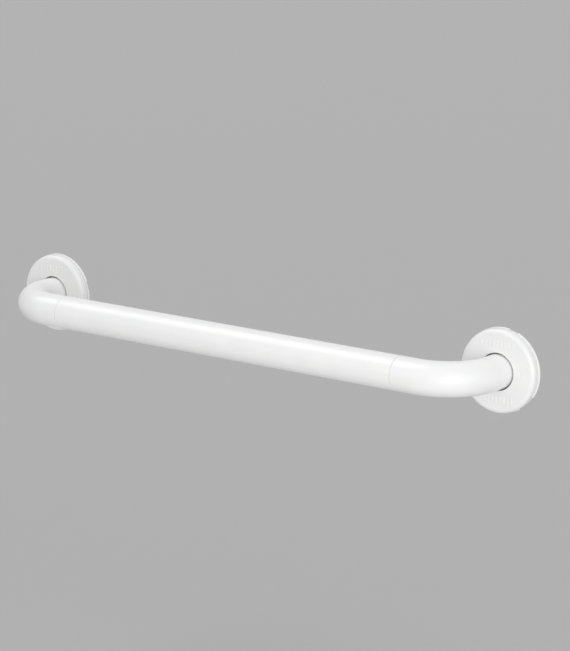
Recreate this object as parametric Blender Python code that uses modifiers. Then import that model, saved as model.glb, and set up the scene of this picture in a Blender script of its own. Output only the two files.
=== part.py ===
"""Wall-mounted straight grab bar: a bent steel core sleeved in nylon, on two screwed flanges.

Units are metres. +Z is up, X runs along the bar, and the wall is the plane y = 0 with the room
at -Y. The origin is on the wall, midway between the two flanges. Each flange is modelled in its
own frame, whose local Z is the distance from the wall into the room.
"""

import math

import bmesh
import bpy

MM = 0.001

# Driving dimensions
RAIL_RADIUS = 16.0 * MM
FLANGE_CENTRES = 523.0 * MM
FLANGE_RADIUS = 38.9 * MM  # over the clip ring's lip; the bar is 600.8 mm overall
STANDOFF = 68.4 * MM  # wall to the rail's axis
BEND_RADIUS = 46.6 * MM
SEAM_X = 195.6 * MM  # middle of the bar to the joint between rail sleeve and elbow
GAP = 0.3 * MM  # between pieces that touch

HALF_CENTRES = FLANGE_CENTRES / 2

# Nylon sleeves and their spigot joint
SLEEVE_BORE = 13.3 * MM
SPIGOT_RADIUS = 14.6 * MM
SPIGOT_LENGTH = 14.0 * MM
COUNTERBORE_RADIUS = SPIGOT_RADIUS + GAP

# Steel core
CORE_RADIUS = 12.7 * MM
CORE_BORE = 10.7 * MM

# Steel mounting plate, with the weld bead round the core
PLATE_RADIUS = 34.0 * MM
PLATE_THICKNESS = 4.0 * MM
PLATE_CHAMFER = 0.6 * MM
PLATE_BORE = CORE_RADIUS + GAP
WELD_LEG = 2.3 * MM
ELBOW_END = PLATE_THICKNESS + WELD_LEG + GAP  # where the elbow's leg stops above the plate

# Nylon clip ring round the plate's edge
LIP_HEIGHT = 2.4 * MM
LIP_ROUND = 0.7 * MM
RING_BORE = PLATE_RADIUS + GAP
COLLAR_RADIUS = 35.1 * MM
COLLAR_HEIGHT = 7.6 * MM
CATCH_RADIUS = 32.7 * MM
CATCH_THICKNESS = 1.3 * MM
NOTCHES = [(0.0, 8.7 * MM), (120.0, 8.7 * MM), (240.0, 19.0 * MM)]  # place in degrees, width
NOTCH_DEPTH = 1.0 * MM
GRIP_RIBS = 6
GRIP_RIB_WIDTH = 2.4 * MM
GRIP_RIB_STAND = 0.3 * MM
RING_TURN = {"left": math.radians(16.5), "right": math.radians(73.5)}  # as they were left

# Nylon cover: a disc with a rounded rim over a recessed skirt
COVER_HEIGHT = 11.2 * MM
COVER_RADIUS = 38.4 * MM
COVER_ROUND = 3.9 * MM
COVER_WALL = 2.2 * MM
COVER_HOLE = RAIL_RADIUS + 1.3 * MM
SKIRT_RADIUS = 37.8 * MM
SKIRT_BORE = 35.7 * MM
SKIRT_TOP = 6.4 * MM
SKIRT_BOTTOM = LIP_HEIGHT + GAP

# Fixings: three to a plate, clear of the rail for a screwdriver
SCREW_CIRCLE = 22.5 * MM
SCREW_ANGLES = [0.0, 120.0, 240.0]
SCREW_LENGTH = 25.0 * MM
SHANK_RADIUS = 2.75 * MM
TIP_LENGTH = 6.0 * MM
HEAD_RADIUS = 5.0 * MM
HEAD_HEIGHT = 3.0 * MM
RECESS_WIDTH = 1.3 * MM
RECESS_SPAN = 5.4 * MM
RECESS_DEPTH = 1.8 * MM
HOLE_RADIUS = 3.25 * MM
WASHER_RADIUS = 6.0 * MM
WASHER_BORE = 3.05 * MM
WASHER_THICKNESS = 1.0 * MM
WASHER_BASE = PLATE_THICKNESS + 0.2 * MM
HEAD_BASE = WASHER_BASE + WASHER_THICKNESS + 0.2 * MM

# Facets
TURNED_STEPS = 48
SMALL_STEPS = 16
ARC_STEPS = 5
BEND_STEPS = 10
SLEEVE_BEVEL = 12  # 28 sides
CORE_BEVEL = 10  # 24 sides

COLOURS = {
    # name: base colour, roughness, metallic
    "white_nylon": ((0.86, 0.86, 0.85), 0.32, 0.0),
    "galvanised_steel": ((0.56, 0.57, 0.58), 0.42, 1.0),
    "screw_steel": ((0.66, 0.66, 0.65), 0.28, 1.0),
}


# ---------------------------------------------------------------- scene and materials


def clear_scene():
    for obj in list(bpy.data.objects):
        bpy.data.objects.remove(obj, do_unlink=True)


def new_collection(name):
    collection = bpy.data.collections.new(name)
    bpy.context.scene.collection.children.link(collection)
    return collection


def material(name):
    made = bpy.data.materials.get(name)
    if made:
        return made
    colour, roughness, metallic = COLOURS[name]
    made = bpy.data.materials.new(name)
    made.use_nodes = True
    shader = made.node_tree.nodes["Principled BSDF"]
    shader.inputs["Base Color"].default_value = (*colour, 1.0)
    shader.inputs["Roughness"].default_value = roughness
    shader.inputs["Metallic"].default_value = metallic
    return made


def place(name, mesh, finish, parent=None, location=(0, 0, 0), rotation=(0, 0, 0)):
    """A part of the object, sharing its mesh with any copy of it."""
    obj = bpy.data.objects.new(name, mesh)
    PARTS.objects.link(obj)
    obj.parent = parent
    obj.location = location
    obj.rotation_euler = rotation
    if not mesh.materials:
        mesh.materials.append(material(finish))
    return obj


# ---------------------------------------------------------------- shapes


def arc(centre, radius, start, end, steps=ARC_STEPS):
    """Points round an arc in a profile's plane, angles in degrees from +X."""
    turns = [math.radians(start + (end - start) * i / steps) for i in range(steps + 1)]
    return [(centre[0] + radius * math.cos(t), centre[1] + radius * math.sin(t)) for t in turns]


def helper(name, mesh):
    """An object that only shapes others."""
    obj = bpy.data.objects.new(name, mesh)
    HELPERS.objects.link(obj)
    obj.hide_render = True
    obj.display_type = "WIRE"
    return obj


def turned(name, profile, steps=TURNED_STEPS, closed=True):
    """A profile of (radius, height) points, down its outer side, turned about Z."""
    mesh = bpy.data.meshes.new(name)
    count = len(profile)
    edges = [(i, (i + 1) % count) for i in range(count if closed else count - 1)]
    mesh.from_pydata([(r, 0.0, h) for r, h in profile], edges, [])
    obj = helper(name, mesh)
    screw = obj.modifiers.new("turn", "SCREW")
    screw.steps = steps
    screw.render_steps = steps
    screw.use_merge_vertices = True
    screw.merge_threshold = 0.00001
    return obj


def box(name, size, centre, turn=0.0):
    """A box turned about Z round the origin."""
    mesh = bpy.data.meshes.new(name)
    shape = bmesh.new()
    bmesh.ops.create_cube(shape, size=1.0)
    bmesh.ops.scale(shape, vec=size, verts=shape.verts)
    bmesh.ops.translate(shape, vec=centre, verts=shape.verts)
    shape.to_mesh(mesh)
    shape.free()
    obj = helper(name, mesh)
    obj.rotation_euler[2] = turn
    return obj


def cylinder(name, radius, low, high, centre=(0.0, 0.0), sides=SMALL_STEPS):
    mesh = bpy.data.meshes.new(name)
    shape = bmesh.new()
    bmesh.ops.create_cone(
        shape, cap_ends=True, segments=sides, radius1=radius, radius2=radius, depth=high - low
    )
    bmesh.ops.translate(shape, vec=(*centre, (low + high) / 2), verts=shape.verts)
    shape.to_mesh(mesh)
    shape.free()
    return helper(name, mesh)


def rod(name, points, radius, bevel):
    """A round bar along the points, as a welded mesh that Booleans can use."""
    data = bpy.data.curves.new(name, "CURVE")
    data.dimensions = "3D"
    data.bevel_depth = radius
    data.bevel_resolution = bevel
    data.use_fill_caps = True
    spline = data.splines.new("POLY")
    spline.points.add(len(points) - 1)
    for point, at in zip(spline.points, points):
        point.co = (*at, 1.0)
    curve = helper(name + "_curve", data)
    return helper(name, baked(curve))


def boolean(obj, operation, *others):
    for other in others:
        modifier = obj.modifiers.new(operation.lower(), "BOOLEAN")
        modifier.operation = operation
        modifier.solver = "EXACT"
        modifier.object = other
    return obj


def baked(obj):
    """The object's evaluated mesh, shaded smooth. The object and its cutters are removed."""
    bpy.context.view_layer.update()
    graph = bpy.context.evaluated_depsgraph_get()
    mesh = bpy.data.meshes.new_from_object(obj.evaluated_get(graph), depsgraph=graph)
    mesh.name = obj.name
    shape = bmesh.new()
    shape.from_mesh(mesh)
    bmesh.ops.remove_doubles(shape, verts=shape.verts, dist=0.000002)
    shape.to_mesh(mesh)
    shape.free()
    mesh.materials.clear()
    mesh.shade_smooth()
    mesh.set_sharp_from_angle(angle=math.radians(35))
    for modifier in obj.modifiers:
        if modifier.type == "BOOLEAN":
            bpy.data.objects.remove(modifier.object, do_unlink=True)
    bpy.data.objects.remove(obj, do_unlink=True)
    return mesh


# ---------------------------------------------------------------- the bent tube's path


def bend_points(inner_x, outer_s):
    """The right end's centreline: along the rail from inner_x, round the bend, down to outer_s.

    outer_s is a distance from the wall.
    """
    centre_x = HALF_CENTRES - BEND_RADIUS
    centre_s = STANDOFF - BEND_RADIUS
    points = [(inner_x, -STANDOFF, 0.0)]
    for x, s in arc((centre_x, centre_s), BEND_RADIUS, 90, 0, BEND_STEPS):
        points.append((x, -s, 0.0))
    points.append((HALF_CENTRES, -outer_s, 0.0))
    return points


def mirrored(points):
    return [(-x, y, z) for x, y, z in reversed(points)]


# ---------------------------------------------------------------- root pieces: core, sleeves


def core_mesh():
    """One steel tube, bent at both ends, that runs from plate to plate."""
    half = bend_points(0.0, GAP)
    outer = rod("core_outside", mirrored(half)[:-1] + half[1:], CORE_RADIUS, CORE_BEVEL)
    reach = bend_points(0.0, -5 * MM)
    bore = rod("core_bore", mirrored(reach)[:-1] + reach[1:], CORE_BORE, CORE_BEVEL)
    return baked(boolean(outer, "DIFFERENCE", bore))


def rail_sleeve_mesh():
    """The straight nylon tube, counterbored at both ends for the elbows' spigots."""
    end = SEAM_X - GAP / 2
    step = end - SPIGOT_LENGTH - 2 * GAP
    half = [(RAIL_RADIUS, end), (RAIL_RADIUS, -end), (COUNTERBORE_RADIUS, -end)]
    half += [(COUNTERBORE_RADIUS, -step), (SLEEVE_BORE, -step), (SLEEVE_BORE, step)]
    half += [(COUNTERBORE_RADIUS, step), (COUNTERBORE_RADIUS, end)]
    return baked(turned("rail_sleeve_shape", half, steps=36))


def elbow_mesh():
    """The right nylon elbow, with the spigot that enters the rail sleeve."""
    shoulder = SEAM_X + GAP / 2
    outside = rod("elbow_outside", bend_points(shoulder, ELBOW_END), RAIL_RADIUS, SLEEVE_BEVEL)
    spigot_ends = [(shoulder - SPIGOT_LENGTH, -STANDOFF, 0), (shoulder + 5 * MM, -STANDOFF, 0)]
    spigot = rod("elbow_spigot", spigot_ends, SPIGOT_RADIUS, SLEEVE_BEVEL)
    bore_path = bend_points(shoulder - 2 * SPIGOT_LENGTH, 0.0)
    bore = rod("elbow_bore", bore_path, SLEEVE_BORE, SLEEVE_BEVEL)
    boolean(outside, "UNION", spigot)
    return baked(boolean(outside, "DIFFERENCE", bore))


# ---------------------------------------------------------------- flange pieces


def plate_mesh():
    """The steel disc that screws to the wall, welded round the core."""
    rim = PLATE_RADIUS - PLATE_CHAMFER
    profile = [(PLATE_BORE, PLATE_THICKNESS + WELD_LEG), (PLATE_BORE + WELD_LEG, PLATE_THICKNESS)]
    profile += [(rim, PLATE_THICKNESS), (PLATE_RADIUS, PLATE_THICKNESS - PLATE_CHAMFER)]
    profile += [(PLATE_RADIUS, 0.0), (PLATE_BORE, 0.0)]
    plate = turned("plate_shape", profile)
    for angle in SCREW_ANGLES:
        t = math.radians(angle)
        centre = (SCREW_CIRCLE * math.cos(t), SCREW_CIRCLE * math.sin(t))
        hole = cylinder("screw_hole", HOLE_RADIUS, -5 * MM, 10 * MM, centre)
        boolean(plate, "DIFFERENCE", hole)
    return baked(plate)


def ring_mesh():
    """The clip ring: a lip on the wall, a collar for the cover, and a catch over the plate."""
    rounded = FLANGE_RADIUS - LIP_ROUND
    catch_base = PLATE_THICKNESS + GAP
    profile = [(COLLAR_RADIUS, COLLAR_HEIGHT), (COLLAR_RADIUS, LIP_HEIGHT)]
    profile += arc((rounded, LIP_HEIGHT - LIP_ROUND), LIP_ROUND, 90, 0, 3)
    profile += [(FLANGE_RADIUS, GAP), (RING_BORE, GAP), (RING_BORE, catch_base)]
    profile += [(CATCH_RADIUS, catch_base), (CATCH_RADIUS, catch_base + CATCH_THICKNESS)]
    profile += [(COLLAR_RADIUS - CATCH_THICKNESS, catch_base + CATCH_THICKNESS)]
    profile += [(COLLAR_RADIUS - CATCH_THICKNESS, COLLAR_HEIGHT)]
    ring = turned("ring_shape", profile)
    for angle, width in NOTCHES:
        floor = cylinder("notch_floor", FLANGE_RADIUS - NOTCH_DEPTH, -10 * MM, 10 * MM, sides=96)
        notch = box("notch", (20 * MM, width, 4 * LIP_HEIGHT), (FLANGE_RADIUS, 0, 0))
        sector = helper("notch_sector", baked(boolean(notch, "DIFFERENCE", floor)))
        sector.rotation_euler[2] = math.radians(angle)
        boolean(ring, "DIFFERENCE", sector)
    low, high = LIP_HEIGHT - GAP, COLLAR_HEIGHT - 2 * GAP
    for i in range(GRIP_RIBS):
        size = (2 * GRIP_RIB_STAND, GRIP_RIB_WIDTH, high - low)
        turn = 2 * math.pi * (i + 0.5) / GRIP_RIBS
        centre = (COLLAR_RADIUS, 0, (low + high) / 2)
        boolean(ring, "UNION", box("grip_rib", size, centre, turn))
    return baked(ring)


def cover_mesh():
    """The cover that slides down the elbow's leg and hides the plate and its screws."""
    ceiling = COVER_HEIGHT - COVER_WALL
    edge_round = COVER_ROUND - COVER_WALL
    round_centre = (COVER_RADIUS - COVER_ROUND, COVER_HEIGHT - COVER_ROUND)
    profile = [(COVER_HOLE, COVER_HEIGHT)]
    profile += arc(round_centre, COVER_ROUND, 90, 0)
    profile += [(COVER_RADIUS, SKIRT_TOP + 0.7 * MM), (SKIRT_RADIUS, SKIRT_TOP)]
    profile += [(SKIRT_RADIUS, SKIRT_BOTTOM), (SKIRT_BORE, SKIRT_BOTTOM)]
    profile += arc((SKIRT_BORE - edge_round, ceiling - edge_round), edge_round, 0, 90, 2)
    profile += [(COVER_HOLE, ceiling)]
    return baked(turned("cover_shape", profile))


# ---------------------------------------------------------------- fixings


def screw_mesh():
    """A pan-head wall screw, its bearing face at height 0 and its tip down."""
    neck = SHANK_RADIUS
    profile = [(0.0, HEAD_HEIGHT)]
    profile += [(0.55 * HEAD_RADIUS, HEAD_HEIGHT), (0.88 * HEAD_RADIUS, 0.72 * HEAD_HEIGHT)]
    profile += [(HEAD_RADIUS, 0.35 * HEAD_HEIGHT), (HEAD_RADIUS, 0.0), (neck, 0.0)]
    profile += [(neck, TIP_LENGTH - SCREW_LENGTH), (0.0, -SCREW_LENGTH)]
    screw = turned("screw_shape", profile, SMALL_STEPS, closed=False)
    for turn in (0.0, math.pi / 2):
        size = (RECESS_SPAN, RECESS_WIDTH, 2 * RECESS_DEPTH)
        boolean(screw, "DIFFERENCE", box("recess", size, (0, 0, HEAD_HEIGHT), turn))
    return baked(screw)


def washer_mesh():
    profile = [(WASHER_BORE, WASHER_THICKNESS), (WASHER_RADIUS, WASHER_THICKNESS)]
    profile += [(WASHER_RADIUS, 0.0), (WASHER_BORE, 0.0)]
    return baked(turned("washer_shape", profile, SMALL_STEPS))


# ---------------------------------------------------------------- assembly


def flange_frame(side, sign):
    """An empty at the flange's centre on the wall, its local Z pointing into the room."""
    frame = bpy.data.objects.new(side + "_flange_frame", None)
    PARTS.objects.link(frame)
    frame.location = (sign * HALF_CENTRES, 0.0, 0.0)
    frame.rotation_euler = (math.pi / 2, 0.0, 0.0)
    return frame


def build_flange(side, sign, meshes):
    frame = flange_frame(side, sign)
    # The plate's first hole points away from the rail, at either end.
    plate_turn = 0.0 if sign > 0 else math.pi
    turn = (0, 0, plate_turn)
    place(side + "_mounting_plate", meshes["plate"], "galvanised_steel", frame, rotation=turn)
    turn = (0, 0, RING_TURN[side])
    place(side + "_clip_ring", meshes["ring"], "white_nylon", frame, rotation=turn)
    place(side + "_cover", meshes["cover"], "white_nylon", frame)
    for number, angle in enumerate(SCREW_ANGLES, start=1):
        t = math.radians(angle) + plate_turn
        x, y = SCREW_CIRCLE * math.cos(t), SCREW_CIRCLE * math.sin(t)
        for kind, finish, height in (
            ("screw", "screw_steel", HEAD_BASE),
            ("washer", "screw_steel", WASHER_BASE),
        ):
            name = f"{side}_wall_{kind}_{number}"
            place(name, meshes[kind], finish, frame, (x, y, height), (0, 0, t))


def main():
    rail_turn = (0.0, math.pi / 2, 0.0)
    place("steel_core", core_mesh(), "galvanised_steel")
    place("rail_sleeve", rail_sleeve_mesh(), "white_nylon", None, (0, -STANDOFF, 0), rail_turn)
    elbow = elbow_mesh()
    place("right_elbow", elbow, "white_nylon")
    place("left_elbow", elbow, "white_nylon", rotation=(0.0, math.pi, 0.0))
    meshes = {
        "plate": plate_mesh(),
        "ring": ring_mesh(),
        "cover": cover_mesh(),
        "screw": screw_mesh(),
        "washer": washer_mesh(),
    }
    build_flange("left", -1, meshes)
    build_flange("right", 1, meshes)


clear_scene()
PARTS = new_collection("grab_bar")
HELPERS = new_collection("shaping_helpers")
main()
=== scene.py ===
"""Looks of the wall grab bar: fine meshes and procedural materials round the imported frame.

Metres, in the frame's own axes: +X along the rail, +Z up, the wall at y = 0 and the room at -Y.
Every piece is a profile carried round an axis. Points of a profile are (along the axis, radius),
and a flange's axis runs from the wall into the room.
"""

import math

import bmesh
import bpy
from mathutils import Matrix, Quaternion, Vector


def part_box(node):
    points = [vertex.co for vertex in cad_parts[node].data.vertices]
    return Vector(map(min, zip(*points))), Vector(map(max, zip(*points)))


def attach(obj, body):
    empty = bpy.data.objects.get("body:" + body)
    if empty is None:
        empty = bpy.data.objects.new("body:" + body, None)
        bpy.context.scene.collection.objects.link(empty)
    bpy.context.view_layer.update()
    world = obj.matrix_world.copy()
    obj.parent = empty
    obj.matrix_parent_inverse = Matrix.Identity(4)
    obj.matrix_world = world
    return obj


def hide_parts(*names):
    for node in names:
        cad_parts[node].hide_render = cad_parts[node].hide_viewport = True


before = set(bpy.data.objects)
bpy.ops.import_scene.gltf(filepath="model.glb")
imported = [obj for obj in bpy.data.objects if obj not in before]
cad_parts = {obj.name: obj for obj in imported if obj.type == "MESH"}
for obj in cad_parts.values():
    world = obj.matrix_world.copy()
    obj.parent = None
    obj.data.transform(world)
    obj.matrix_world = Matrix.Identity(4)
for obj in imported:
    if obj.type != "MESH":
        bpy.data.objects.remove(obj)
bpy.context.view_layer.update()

MM = 0.001
SIDES = ("left", "right")
SIGN = {"left": -1, "right": 1}


# ---------------------------------------------------------------- sizes, from the frame


def middle_and_half(node):
    """A node's middle, and half its size each way."""
    low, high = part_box(node)
    return (low + high) / 2, (high - low) / 2


RAIL_MIDDLE, RAIL_HALF = middle_and_half("rail_sleeve")
RAIL_RADIUS = RAIL_HALF.z
RAIL_END = RAIL_HALF.x
STANDOFF = -RAIL_MIDDLE.y

COVER_MIDDLE, COVER_HALF = middle_and_half("right_cover")
HALF_CENTRES = COVER_MIDDLE.x
COVER_RADIUS = COVER_HALF.x
COVER_TOP = -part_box("right_cover")[0].y
COVER_BOTTOM = -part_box("right_cover")[1].y

SPIGOT_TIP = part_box("right_elbow")[0].x
LEG_END = -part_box("right_elbow")[1].y
CORE_RADIUS = middle_and_half("steel_core")[1].z
CORE_END = -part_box("steel_core")[1].y
PLATE_RADIUS = middle_and_half("right_mounting_plate")[1].x
WELD_TOP = -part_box("right_mounting_plate")[0].y
RING_TOP = -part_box("right_clip_ring")[0].y
RING_BOTTOM = -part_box("right_clip_ring")[1].y
LIP_RADIUS = middle_and_half("right_clip_ring")[1].x
SCREW_TIP, SCREW_TOP = -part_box("left_wall_screw_1")[1].y, -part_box("left_wall_screw_1")[0].y
WASHER_BOTTOM, WASHER_TOP = -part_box("left_wall_washer_1")[1].y, -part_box("left_wall_washer_1")[0].y

# Sizes that a box doesn't give, as the CAD has them
GAP = 0.3 * MM
BEND_RADIUS = 46.6 * MM
SLEEVE_BORE = 13.3 * MM
SPIGOT_RADIUS = 14.6 * MM
CORE_BORE = 10.7 * MM
PLATE_THICKNESS = 4.0 * MM
SCREW_HOLE = 3.25 * MM
LIP_HEIGHT = 2.4 * MM
COLLAR_RADIUS = 35.1 * MM
CATCH_RADIUS = 32.7 * MM
CATCH_THICKNESS = 1.3 * MM
NOTCHES = [(0.0, 8.7 * MM), (120.0, 8.7 * MM), (240.0, 19.0 * MM)]  # place in degrees, width
NOTCH_DEPTH = 1.0 * MM
GRIP_RIBS = 6
GRIP_RIB_WIDTH = 2.4 * MM
GRIP_RIB_STAND = 0.3 * MM
RING_TURN = {"left": math.radians(16.5), "right": math.radians(73.5)}
COVER_HOLE = RAIL_RADIUS + 1.3 * MM
COVER_WALL = 2.2 * MM
COVER_ROUND = 3.9 * MM
SKIRT_RADIUS = 37.8 * MM
SKIRT_BORE = 35.7 * MM
SKIRT_TOP = 6.4 * MM
SHANK_RADIUS = 2.75 * MM
HEAD_RADIUS = 5.0 * MM
HEAD_HEIGHT = 3.0 * MM
WASHER_RADIUS = 6.0 * MM
WASHER_BORE = 3.05 * MM

# Details that only the fine meshes have
SEAM_ROUND = 0.3 * MM
NOTCH_EDGE = math.radians(0.36)  # half the width of the step at a notch's or a rib's edge
FINGER_RIBS = 9
SIDE_RIBS = 2
FINGER_RIB_SIZE = (1.3 * MM, 0.8 * MM, 5.6 * MM)  # along the bar, through the face, up
FINGER_RIB_SPACING = 4.0 * MM
FINGER_RIB_LEVEL = 25.5 * MM
THREAD_ROOT = 1.95 * MM
THREAD_PITCH = 2.3 * MM
SCREW_POINT = 6.0 * MM
CROSS_SIZE = (5.6 * MM, 1.3 * MM, 4.0 * MM)  # long way, short way, height of a blade
WELD_RIPPLES = 46
WELD_RIPPLE_DEPTH = 0.13 * MM

# How finely the round pieces are made
BAR_SEGMENTS = 96
CORE_SEGMENTS = 64
HOLE_SEGMENTS = 40
RING_SEGMENTS = 144
COVER_SEGMENTS = 128
SCREW_SEGMENTS = 48
WASHER_SEGMENTS = 64
ARC_STEPS = 8
SHARP_EDGE = math.radians(40)
MERGE_DISTANCE = 0.002 * MM  # points closer than this are one

FLOOR_LEVEL = -0.35
CAMERA_AIM = Vector((0.02011, 0.0, 0.00525))
CAMERA_DISTANCE = 2.3695


# ---------------------------------------------------------------- axes


BEND_START = HALF_CENTRES - BEND_RADIUS
BEND_END = BEND_START + BEND_RADIUS * math.pi / 2


def bar_axis(along):
    """The bar's centreline, measured from its middle: a point on it and two directions across."""
    sign = math.copysign(1, along)
    run = abs(along)
    turn = min(max(run - BEND_START, 0.0), BEND_END - BEND_START) / BEND_RADIUS
    x = min(run, BEND_START) + BEND_RADIUS * math.sin(turn)
    y = -STANDOFF + BEND_RADIUS * (1 - math.cos(turn)) + max(run - BEND_END, 0.0)
    outward = Vector((sign * math.sin(turn), -math.cos(turn), 0.0))
    return Vector((sign * x, y, 0.0)), outward, Vector((0.0, 0.0, 1.0))


def leg_end(from_wall):
    """How far along the bar's centreline a distance from the wall lies, on the leg."""
    return BEND_END + STANDOFF - BEND_RADIUS - from_wall


def wall_axis(x, z=0.0):
    """An axis that leaves the wall at (x, z)."""

    def axis(along):
        return Vector((x, -along, z)), Vector((1.0, 0.0, 0.0)), Vector((0.0, 0.0, 1.0))

    return axis


def flange_axis(side):
    """The axis of the flange at one end of the bar."""
    return wall_axis(SIGN[side] * HALF_CENTRES)


def fixing_axis(along):
    """The axis that a screw or a washer is made on, before it is put in its place."""
    return Vector((0.0, 0.0, along)), Vector((1.0, 0.0, 0.0)), Vector((0.0, 1.0, 0.0))


def quarter_turns():
    """Even angles from 0 to a right angle."""
    return [math.pi / 2 * step / ARC_STEPS for step in range(ARC_STEPS + 1)]


# ---------------------------------------------------------------- profiles and meshes


def rounded(corners, steps=4):
    """Points of a closed outline whose corners are (along, radius, rounding)."""
    points = []
    for i, (along, radius, rounding) in enumerate(corners):
        corner = Vector((along, radius))
        if rounding == 0:
            points.append(corner)
            continue
        before = (Vector(corners[i - 1][:2]) - corner).normalized()
        after = (Vector(corners[(i + 1) % len(corners)][:2]) - corner).normalized()
        half = before.angle(after) / 2
        centre = corner + (before + after).normalized() * rounding / math.sin(half)
        first = corner + before * rounding / math.tan(half) - centre
        last = corner + after * rounding / math.tan(half) - centre
        swing = first.angle_signed(last)
        for step in range(steps + 1):
            turn = -swing * step / steps
            cos, sin = math.cos(turn), math.sin(turn)
            arm = Vector((first.x * cos - first.y * sin, first.x * sin + first.y * cos))
            points.append(centre + arm)
    return points


def divided(points, step):
    """The same closed outline, with points added so that none are further apart than step."""
    out = []
    for i, point in enumerate(points):
        after = points[(i + 1) % len(points)]
        count = max(1, math.ceil((after - point).length / step))
        out += [point.lerp(after, k / count) for k in range(count)]
    return out


def even_angles(count):
    """Angles spaced evenly round a full turn."""
    return [2 * math.pi * i / count for i in range(count)]


def carried_round(name, points, axis, angles, shape=None, closed=True):
    """A mesh from profile points carried round an axis. shape(along, radius, angle) may change the
    radius. A profile that isn't closed starts and ends on the axis."""
    mesh = bpy.data.meshes.new(name)
    work = bmesh.new()
    rows = []
    for along, radius in points:
        centre, across, up = axis(along)
        row = []
        for angle in angles:
            reach = shape(along, radius, angle) if shape else radius
            direction = math.cos(angle) * across + math.sin(angle) * up
            row.append(work.verts.new(centre + reach * direction))
        rows.append(row)
    pairs = list(zip(rows, rows[1:])) + ([(rows[-1], rows[0])] if closed else [])
    for low, high in pairs:
        for i in range(len(angles)):
            k = (i + 1) % len(angles)
            work.faces.new((low[i], low[k], high[k], high[i]))
    if not closed:
        bmesh.ops.remove_doubles(work, verts=rows[0] + rows[-1], dist=1e-7)
    bmesh.ops.recalc_face_normals(work, faces=work.faces)
    work.to_mesh(mesh)
    work.free()
    return mesh


def shown(name, mesh, finish, body, replaced=None):
    """A piece in the scene, shaded smooth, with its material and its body."""
    obj = bpy.data.objects.new(name, mesh)
    bpy.context.scene.collection.objects.link(obj)
    mesh.shade_smooth()
    mesh.set_sharp_from_angle(angle=SHARP_EDGE)
    if not mesh.materials:
        mesh.materials.append(finish)
    even = obj.modifiers.new("even_shading", "WEIGHTED_NORMAL")
    even.keep_sharp = True
    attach(obj, body)
    if replaced:
        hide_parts(replaced)
    return obj


def combined(mesh, others, operation="DIFFERENCE"):
    """The mesh with each other mesh taken out of it, or joined to it."""
    target = bpy.data.objects.new("being_combined", mesh)
    bpy.context.scene.collection.objects.link(target)
    tools = []
    for other in others:
        tool = bpy.data.objects.new("other", other)
        bpy.context.scene.collection.objects.link(tool)
        modifier = target.modifiers.new("combine", "BOOLEAN")
        modifier.operation = operation
        modifier.solver = "EXACT"
        modifier.object = tool
        tools.append(tool)
    graph = bpy.context.evaluated_depsgraph_get()
    result = bpy.data.meshes.new_from_object(target.evaluated_get(graph), depsgraph=graph)
    for obj in [target, *tools]:
        bpy.data.objects.remove(obj, do_unlink=True)
    work = bmesh.new()
    work.from_mesh(result)
    bmesh.ops.remove_doubles(work, verts=work.verts, dist=MERGE_DISTANCE)
    bmesh.ops.dissolve_degenerate(work, edges=work.edges, dist=MERGE_DISTANCE)
    work.to_mesh(result)
    work.free()
    return result


# ---------------------------------------------------------------- materials


class Nodes:
    """A material's node tree, with the Principled shader and short ways to add to it."""

    def __init__(self, name, colour, roughness, metallic):
        self.material = bpy.data.materials.new(name)
        self.material.use_nodes = True
        self.tree = self.material.node_tree
        self.shader = self.tree.nodes["Principled BSDF"]
        self.shader.inputs["Base Color"].default_value = (*colour, 1.0)
        self.shader.inputs["Roughness"].default_value = roughness
        self.shader.inputs["Metallic"].default_value = metallic
        self.place = self.tree.nodes.new("ShaderNodeTexCoord").outputs["Object"]

    def link(self, output, node, socket):
        self.tree.links.new(output, node.inputs[socket])

    def stretched(self, scale):
        node = self.tree.nodes.new("ShaderNodeMapping")
        node.inputs["Scale"].default_value = scale
        self.link(self.place, node, "Vector")
        return node.outputs["Vector"]

    def noise(self, scale, detail=2.0, vector=None):
        node = self.tree.nodes.new("ShaderNodeTexNoise")
        node.inputs["Scale"].default_value = scale
        node.inputs["Detail"].default_value = detail
        self.link(vector or self.place, node, "Vector")
        return node.outputs["Fac"]

    def cells(self, scale):
        node = self.tree.nodes.new("ShaderNodeTexVoronoi")
        node.inputs["Scale"].default_value = scale
        self.link(self.place, node, "Vector")
        return node.outputs["Color"]

    def spread(self, value, low, high, start=0.3, end=0.7):
        """A value from start to end, mapped to low to high."""
        node = self.tree.nodes.new("ShaderNodeMapRange")
        numbers = {"From Min": start, "From Max": end, "To Min": low, "To Max": high}
        for socket, number in numbers.items():
            node.inputs[socket].default_value = number
        self.link(value, node, "Value")
        return node.outputs["Result"]

    def ramp(self, value, *stops):
        node = self.tree.nodes.new("ShaderNodeValToRGB")
        elements = node.color_ramp.elements
        while len(elements) < len(stops):
            elements.new(0.5)
        for element, (position, colour) in zip(elements, stops):
            element.position = position
            element.color = (*colour, 1.0)
        self.link(value, node, "Fac")
        return node.outputs["Color"]

    def bump(self, height, strength, distance):
        node = self.tree.nodes.new("ShaderNodeBump")
        node.inputs["Strength"].default_value = strength
        node.inputs["Distance"].default_value = distance
        self.link(height, node, "Height")
        self.link(node.outputs["Normal"], self.shader, "Normal")


def white_nylon():
    """Moulded nylon, coloured through: satin gloss, with a faint mould texture and mottle."""
    made = Nodes("white_nylon", (0.86, 0.86, 0.85), roughness=0.3, metallic=0.0)
    mottle = made.noise(scale=45.0, detail=3.0)
    tint = made.ramp(mottle, (0.3, (0.845, 0.85, 0.85)), (0.7, (0.875, 0.875, 0.868)))
    made.link(tint, made.shader, "Base Color")
    gloss = made.spread(made.noise(scale=60.0), low=0.295, high=0.345)
    made.link(gloss, made.shader, "Roughness")
    made.bump(made.noise(scale=2600.0), strength=0.12, distance=0.05 * MM)
    return made.material


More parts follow.
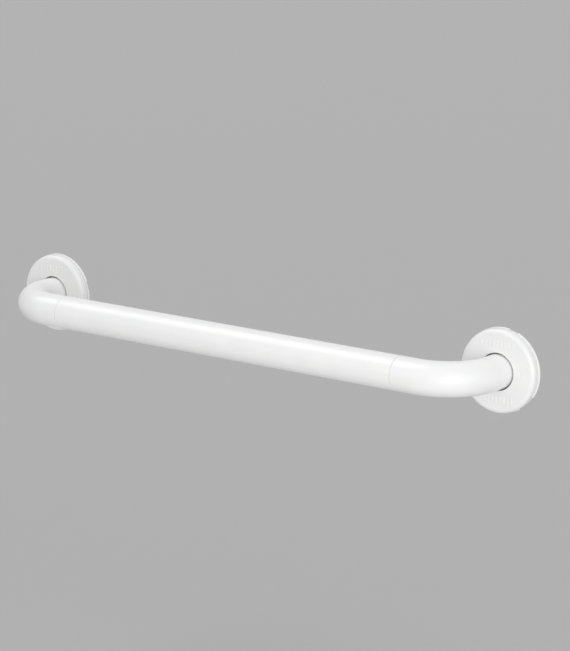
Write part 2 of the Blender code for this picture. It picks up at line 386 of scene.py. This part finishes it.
def galvanised(name, streaked=False):
    """Zinc-coated steel: a spangle of crystals, each with its own grey and its own sheen."""
    made = Nodes(name, (0.56, 0.57, 0.58), roughness=0.42, metallic=1.0)
    crystals = made.cells(scale=260.0)
    grey = made.ramp(crystals, (0.15, (0.46, 0.47, 0.48)), (0.85, (0.66, 0.67, 0.67)))
    made.link(grey, made.shader, "Base Color")
    sheen = made.spread(crystals, low=0.32, high=0.52, start=0.1, end=0.9)
    made.link(sheen, made.shader, "Roughness")
    if streaked:
        grain = made.noise(scale=1.0, detail=3.0, vector=made.stretched((40.0, 900.0, 900.0)))
    else:
        grain = made.noise(scale=900.0, detail=3.0)
    made.bump(grain, strength=0.25, distance=0.03 * MM)
    return made.material


def weld_metal():
    """The weld's bead: dull, darker, tinted by heat in places."""
    made = Nodes("weld_metal", (0.36, 0.35, 0.34), roughness=0.5, metallic=1.0)
    heat = made.noise(scale=180.0, detail=3.0)
    stops = [(0.3, (0.27, 0.26, 0.26)), (0.55, (0.42, 0.40, 0.37)), (0.7, (0.36, 0.33, 0.30))]
    made.link(made.ramp(heat, *stops), made.shader, "Base Color")
    made.link(made.spread(heat, low=0.38, high=0.6), made.shader, "Roughness")
    made.bump(made.noise(scale=1400.0, detail=3.0), strength=0.3, distance=0.04 * MM)
    return made.material


def stainless():
    """Bright stainless fixings with faint marks of turning and handling."""
    made = Nodes("stainless", (0.66, 0.66, 0.65), roughness=0.26, metallic=1.0)
    marks = made.noise(scale=700.0, detail=4.0)
    tint = made.ramp(marks, (0.3, (0.60, 0.60, 0.59)), (0.7, (0.72, 0.72, 0.71)))
    made.link(tint, made.shader, "Base Color")
    made.link(made.spread(marks, low=0.2, high=0.36), made.shader, "Roughness")
    made.bump(made.noise(scale=2200.0), strength=0.15, distance=0.02 * MM)
    return made.material


NYLON = white_nylon()
PLATE_STEEL = galvanised("plate_zinc")
CORE_STEEL = galvanised("core_zinc", streaked=True)
WELD = weld_metal()
STAINLESS = stainless()


# ---------------------------------------------------------------- the bar


ROUND = even_angles(BAR_SEGMENTS)


def rail_sleeve():
    """The straight tube, counterbored for the elbows' spigots, its ends just broken."""
    bore_end = SPIGOT_TIP - GAP
    socket = SPIGOT_RADIUS + GAP
    half = [(RAIL_END, socket, 0.2 * MM), (RAIL_END, RAIL_RADIUS, SEAM_ROUND)]
    corners = [(bore_end, SLEEVE_BORE, 0.0), (bore_end, socket, 0.0), *half]
    corners += [(-along, radius, rounding) for along, radius, rounding in reversed(corners)]
    points = divided(rounded(corners), step=20 * MM)

    def axis(along):
        return Vector((along, -STANDOFF, 0.0)), Vector((0.0, -1.0, 0.0)), Vector((0.0, 0.0, 1.0))

    mesh = carried_round("rail_sleeve_fine", points, axis, ROUND)
    shown("rail_sleeve_fine", mesh, NYLON, "bar", "rail_sleeve")


def elbow(side):
    """An elbow from its spigot in the rail sleeve, round the bend, to the end of its leg."""
    sign = SIGN[side]
    shoulder = RAIL_END + GAP
    foot = leg_end(LEG_END)
    corners = [
        (shoulder, SPIGOT_RADIUS, 0.0),
        (shoulder, RAIL_RADIUS, SEAM_ROUND),
        (foot, RAIL_RADIUS, 0.3 * MM),
        (foot, SLEEVE_BORE, 0.2 * MM),
        (SPIGOT_TIP, SLEEVE_BORE, 0.2 * MM),
        (SPIGOT_TIP, SPIGOT_RADIUS, 0.4 * MM),
    ]
    points = divided(rounded(corners), step=1.6 * MM)
    points = [(sign * along, radius) for along, radius in points]
    name = side + "_elbow_fine"
    mesh = carried_round(name, points, bar_axis, ROUND)
    shown(name, mesh, NYLON, "bar", side + "_elbow")


def steel_core():
    """The bent tube inside, open at both ends."""
    end = leg_end(CORE_END)
    corners = [(end, CORE_BORE, 0.2 * MM), (end, CORE_RADIUS, 0.3 * MM)]
    corners += [(-end, CORE_RADIUS, 0.3 * MM), (-end, CORE_BORE, 0.2 * MM)]
    points = divided(rounded(corners), step=2.5 * MM)
    mesh = carried_round("steel_core_fine", points, bar_axis, even_angles(CORE_SEGMENTS))
    shown("steel_core_fine", mesh, CORE_STEEL, "bar", "steel_core")


# ---------------------------------------------------------------- flange pieces


def mounting_plate(side):
    """The steel disc with its three screw holes."""
    bore = CORE_RADIUS + GAP
    corners = [
        (0.0, bore, 0.0),
        (0.0, PLATE_RADIUS, 0.3 * MM),
        (PLATE_THICKNESS, PLATE_RADIUS, 0.6 * MM),
        (PLATE_THICKNESS, bore, 0.0),
    ]
    points = divided(rounded(corners), step=8 * MM)
    name = side + "_mounting_plate_fine"
    disc = carried_round(name, points, flange_axis(side), ROUND)
    drill = [(-5 * MM, 0.0), (-5 * MM, SCREW_HOLE), (10 * MM, SCREW_HOLE), (10 * MM, 0.0)]
    half_step = math.pi / HOLE_SEGMENTS  # keeps the holes' corners off the disc's own edges
    around = [angle + half_step for angle in even_angles(HOLE_SEGMENTS)]
    holes = []
    for number in (1, 2, 3):
        middle = middle_and_half(f"{side}_wall_screw_{number}")[0]
        hole_axis = wall_axis(middle.x, middle.z)
        holes.append(carried_round("hole", drill, hole_axis, around, closed=False))
    mesh = combined(disc, holes)
    shown(name, mesh, PLATE_STEEL, "bar", side + "_mounting_plate")


def weld_bead(side):
    """The rippled bead that joins the core to the plate."""
    inner, leg = CORE_RADIUS + 0.05 * MM, WELD_TOP - PLATE_THICKNESS
    toe, hollow = inner + 0.15 * MM, 1.3  # a power over 1 makes the bead's face hollow
    points = [(PLATE_THICKNESS, inner), (WELD_TOP, inner)]
    for turn in quarter_turns():
        height, reach = leg * math.cos(turn) ** hollow, leg * math.sin(turn) ** hollow
        points.append((PLATE_THICKNESS + height, toe + reach))

    def shape(along, radius, angle):
        free = min(1.0, (radius - inner) / (0.5 * leg)) if radius > inner else 0.0
        return radius - free * WELD_RIPPLE_DEPTH * (1 + math.cos(WELD_RIPPLES * angle)) / 2

    name = side + "_weld_bead"
    mesh = carried_round(name, points, flange_axis(side), even_angles(6 * WELD_RIPPLES), shape)
    shown(name, mesh, WELD, "bar")


def notch_spans():
    """Each notch's middle and half-width, as angles round an unturned ring."""
    return [(math.radians(place), math.asin(width / 2 / LIP_RADIUS)) for place, width in NOTCHES]


def rib_spans():
    """The same for the collar's ribs."""
    half = GRIP_RIB_WIDTH / 2 / COLLAR_RADIUS
    return [(2 * math.pi * (i + 0.5) / GRIP_RIBS, half) for i in range(GRIP_RIBS)]


def share_inside(angle, spans):
    """1 inside a span, 0 outside, with a short smooth step at its edges."""
    share = 0.0
    for middle, half in spans:
        away = abs((angle - middle + math.pi) % (2 * math.pi) - math.pi)
        share = max(share, min((half + NOTCH_EDGE - away) / (2 * NOTCH_EDGE), 1.0))
    return share * share * (3 - 2 * share)


def ring_angles(turn):
    """Angles round a clip ring, close together at the edges of its notches and ribs."""
    steps, closest = 3, math.radians(0.05)
    angles = set(even_angles(RING_SEGMENTS))
    for middle, half in notch_spans() + rib_spans():
        for edge in (turn + middle - half, turn + middle + half):
            for step in range(-steps, steps + 1):
                angles.add((edge + step * NOTCH_EDGE / steps) % (2 * math.pi))
    kept = []
    for angle in sorted(angles):
        if not kept or angle - kept[-1] > closest:
            kept.append(angle)
    return kept


def clip_ring(side):
    """The ring round the plate's edge: a lip with pry notches, a collar with ribs, and a catch."""
    turn = RING_TURN[side]
    bore = PLATE_RADIUS + GAP
    catch = PLATE_THICKNESS + GAP
    neck = COLLAR_RADIUS - CATCH_THICKNESS
    corners = [
        (RING_BOTTOM, bore, 0.2 * MM),
        (RING_BOTTOM, LIP_RADIUS, 0.3 * MM),
        (LIP_HEIGHT, LIP_RADIUS, 0.7 * MM),
        (LIP_HEIGHT, COLLAR_RADIUS, 0.2 * MM),
        (RING_TOP, COLLAR_RADIUS, 0.4 * MM),
        (RING_TOP, neck, 0.3 * MM),
        (catch + CATCH_THICKNESS, neck, 0.2 * MM),
        (catch + CATCH_THICKNESS, CATCH_RADIUS, 0.4 * MM),
        (catch, CATCH_RADIUS, 0.3 * MM),
        (catch, bore, 0.0),
    ]
    points = divided(rounded(corners), step=1.5 * MM)
    notches, ribs = notch_spans(), rib_spans()
    notched = LIP_RADIUS - NOTCH_DEPTH

    def shape(along, radius, angle):
        if along <= LIP_HEIGHT + GAP and radius > notched:
            return radius + share_inside(angle - turn, notches) * (notched - radius)
        on_collar = LIP_HEIGHT + 0.1 * MM < along < RING_TOP - 0.3 * MM
        if on_collar and radius > COLLAR_RADIUS - 0.1 * MM:
            return radius + share_inside(angle - turn, ribs) * GRIP_RIB_STAND
        return radius

    name = side + "_clip_ring_fine"
    mesh = carried_round(name, points, flange_axis(side), ring_angles(turn), shape)
    shown(name, mesh, NYLON, side + "_ring", side + "_clip_ring")


def finger_ribs(centre_x):
    """Plain raised ribs on a cover's face: rows above and below the bar, a pair at each side."""
    groups = [(0.0, level, FINGER_RIBS) for level in (-FINGER_RIB_LEVEL, FINGER_RIB_LEVEL)]
    groups += [(across, 0.0, SIDE_RIBS) for across in (-FINGER_RIB_LEVEL, FINGER_RIB_LEVEL)]
    work = bmesh.new()
    for across, level, count in groups:
        for i in range(count):
            rib = bmesh.ops.create_cube(work, size=1.0)["verts"]
            x = centre_x + across + (i - (count - 1) / 2) * FINGER_RIB_SPACING
            bmesh.ops.scale(work, vec=FINGER_RIB_SIZE, verts=rib)
            bmesh.ops.translate(work, vec=(x, -COVER_TOP, level), verts=rib)
    edges = work.edges[:]
    bmesh.ops.bevel(work, geom=edges, offset=0.25 * MM, segments=3, profile=0.5, affect="EDGES")
    mesh = bpy.data.meshes.new("finger_ribs")
    work.to_mesh(mesh)
    work.free()
    return mesh


def cover(side):
    """The cover: a flat ribbed disc with a full rounded rim, over a recessed skirt."""
    ceiling = COVER_TOP - COVER_WALL
    corners = [
        (COVER_TOP, COVER_HOLE, 0.35 * MM),
        (COVER_TOP, COVER_RADIUS, COVER_ROUND),
        (SKIRT_TOP, COVER_RADIUS, 0.45 * MM),
        (SKIRT_TOP, SKIRT_RADIUS, 0.2 * MM),
        (COVER_BOTTOM, SKIRT_RADIUS, 0.3 * MM),
        (COVER_BOTTOM, SKIRT_BORE, 0.3 * MM),
        (ceiling, SKIRT_BORE, COVER_ROUND - COVER_WALL),
        (ceiling, COVER_HOLE, 0.2 * MM),
    ]
    name = side + "_cover_fine"
    points = divided(rounded(corners, steps=8), step=4 * MM)
    disc = carried_round(name, points, flange_axis(side), even_angles(COVER_SEGMENTS))
    mesh = combined(disc, [finger_ribs(SIGN[side] * HALF_CENTRES)], "UNION")
    shown(name, mesh, NYLON, side + "_cap", side + "_cover")


# ---------------------------------------------------------------- fixings


def screw_mesh():
    """A pan-head screw with a cut thread and a cross recess, its bearing face at 0."""
    length = SCREW_TOP - HEAD_HEIGHT - SCREW_TIP
    steps, edge = 130, 0.15 * MM
    half_crest = 0.24  # half the crest's width at its root, as a share of the pitch
    points = [(HEAD_HEIGHT, 0.0), (HEAD_HEIGHT, 0.3 * HEAD_RADIUS)]
    for turn in quarter_turns():
        reach = 0.5 + 0.5 * math.sin(turn)
        points.append((HEAD_HEIGHT * (0.25 + 0.72 * math.cos(turn)), reach * HEAD_RADIUS))
    points += [(edge, HEAD_RADIUS), (0.0, HEAD_RADIUS - edge), (0.0, SHANK_RADIUS)]
    points += [(-length * (i + 1) / steps, SHANK_RADIUS) for i in range(steps - 1)]
    points.append((-length, 0.0))

    def shape(along, radius, angle):
        if along >= -1.0 * MM or radius == 0.0:
            return radius
        phase = (along / THREAD_PITCH - angle / (2 * math.pi)) % 1.0
        crest = max(0.0, 1 - abs(phase - 0.5) / half_crest)
        taper = min(1.0, (length + along) / SCREW_POINT)
        return (THREAD_ROOT + (SHANK_RADIUS - THREAD_ROOT) * crest) * taper

    around = even_angles(SCREW_SEGMENTS)
    mesh = carried_round("wall_screw", points, fixing_axis, around, shape, closed=False)
    return combined(mesh, [cross_blade(0.0), cross_blade(math.pi / 2)])


def cross_blade(turn):
    """One blade of the driver's cross, narrower at its foot."""
    work = bmesh.new()
    bmesh.ops.create_cube(work, size=1.0)
    for vert in work.verts:
        narrow = 1.0 if vert.co.z > 0 else 0.45
        x = vert.co.x * CROSS_SIZE[0] * narrow
        y = vert.co.y * CROSS_SIZE[1] * (0.6 + 0.4 * narrow)
        vert.co = (
            x * math.cos(turn) - y * math.sin(turn),
            x * math.sin(turn) + y * math.cos(turn),
            HEAD_HEIGHT + vert.co.z * CROSS_SIZE[2],
        )
    mesh = bpy.data.meshes.new("blade")
    work.to_mesh(mesh)
    work.free()
    return mesh


def washer_mesh():
    """A flat washer, its lower face at 0."""
    thickness = WASHER_TOP - WASHER_BOTTOM
    corners = [
        (0.0, WASHER_BORE, 0.1 * MM),
        (0.0, WASHER_RADIUS, 0.2 * MM),
        (thickness, WASHER_RADIUS, 0.3 * MM),
        (thickness, WASHER_BORE, 0.1 * MM),
    ]
    around = even_angles(WASHER_SEGMENTS)
    return carried_round("wall_washer", rounded(corners), fixing_axis, around)


def fixings(side):
    """Three screws and washers, each screw's recess left at its own angle."""
    for number in (1, 2, 3):
        for kind, mesh, base, turn in (
            ("screw", SCREW, SCREW_TOP - HEAD_HEIGHT, 0.9 * number + 0.4 * SIGN[side]),
            ("washer", WASHER, WASHER_BOTTOM, 0.0),
        ):
            node = f"{side}_wall_{kind}_{number}"
            middle = middle_and_half(node)[0]
            made = mesh.copy()
            made.transform(Quaternion((0, 0, 1), turn).to_matrix().to_4x4())
            made.transform(Quaternion((1, 0, 0), math.pi / 2).to_matrix().to_4x4())
            for vert in made.vertices:
                vert.co += Vector((middle.x, -base, middle.z))
            shown(node + "_fine", made, STAINLESS, "bar", node)


# ---------------------------------------------------------------- build


rail_sleeve()
steel_core()
SCREW = screw_mesh()
WASHER = washer_mesh()
for end in SIDES:
    elbow(end)
    mounting_plate(end)
    weld_bead(end)
    clip_ring(end)
    cover(end)
    fixings(end)


# ---------------------------------------------------------------- studio


def floor():
    """A plain pale floor, well below the bar."""
    mesh = bpy.data.meshes.new("studio_floor")
    work = bmesh.new()
    bmesh.ops.create_grid(work, x_segments=1, y_segments=1, size=30.0)
    work.to_mesh(mesh)
    work.free()
    obj = bpy.data.objects.new("studio_floor", mesh)
    bpy.context.scene.collection.objects.link(obj)
    obj.location.z = FLOOR_LEVEL
    made = Nodes("studio_floor", (0.45, 0.45, 0.45), roughness=0.9, metallic=0.0)
    mesh.materials.append(made.material)
    return obj


def aimed(obj, place, target=(0.0, 0.0, 0.0)):
    """Put a light in the scene at a place, facing its target."""
    bpy.context.scene.collection.objects.link(obj)
    obj.location = place
    obj.rotation_mode = "QUATERNION"
    obj.rotation_quaternion = (Vector(target) - Vector(place)).to_track_quat("-Z", "Y")


def soft_sun(name, direction, spread, strength):
    """An even light from far away, seen as a wide disc, so that its shadows are soft."""
    data = bpy.data.lights.new(name, "SUN")
    data.angle = math.radians(spread)
    data.energy = strength
    aimed(bpy.data.objects.new(name, data), direction)


def softbox(name, place, target, size, power, ground):
    """A rectangular light near the bar, which the camera doesn't see and the floor isn't lit by."""
    data = bpy.data.lights.new(name, "AREA")
    data.shape = "RECTANGLE"
    data.size, data.size_y = size
    data.energy = power
    obj = bpy.data.objects.new(name, data)
    aimed(obj, place, target)
    obj.visible_camera = False
    spared = bpy.data.collections.new(name + "_spares")
    spared.objects.link(ground)
    spared.collection_objects[0].light_linking.link_state = "EXCLUDE"
    obj.light_linking.receiver_collection = spared


def lights(ground):
    """Three wide soft lights, two softboxes near the bar, and an even white surround."""
    soft_sun("right_key", direction=(1.0, -0.6, 0.4), spread=60.0, strength=0.9)
    soft_sun("overhead", direction=(-0.57, -0.12, 0.82), spread=35.0, strength=0.95)
    soft_sun("back_fill", direction=(-0.3, 1.0, 0.5), spread=80.0, strength=0.3)
    right, below = (1.15, -1.1, 0.0), (-0.1, -0.6, -0.34)
    softbox("right_fill", right, (0.22, 0.0, 0.0), size=(0.9, 0.7), power=6.3, ground=ground)
    softbox("low_fill", below, (-0.1, -0.59, 0.0), size=(1.5, 0.6), power=1.8, ground=ground)
    world = bpy.data.worlds.new("studio")
    bpy.context.scene.world = world
    world.use_nodes = True
    surround = world.node_tree.nodes["Background"].inputs
    surround["Color"].default_value = (1.0, 1.0, 1.0, 1.0)
    surround["Strength"].default_value = 0.55
    bpy.context.scene.view_settings.view_transform = "Standard"


def camera():
    """A long lens to the right of the bar and a little above it."""
    azimuth, elevation, roll = math.radians(36.25), math.radians(13.31), math.radians(0.35)
    back = Vector(
        (
            math.sin(azimuth) * math.cos(elevation),
            -math.cos(azimuth) * math.cos(elevation),
            math.sin(elevation),
        )
    )
    data = bpy.data.cameras.new("camera")
    data.lens = 138.4
    data.clip_start, data.clip_end = 0.1, 100.0
    obj = bpy.data.objects.new("camera", data)
    bpy.context.scene.collection.objects.link(obj)
    obj.location = CAMERA_AIM + back * CAMERA_DISTANCE
    obj.rotation_mode = "QUATERNION"
    obj.rotation_quaternion = (-back).to_track_quat("-Z", "Y") @ Quaternion((0, 0, 1), roll)
    bpy.context.scene.camera = obj


lights(floor())
camera()
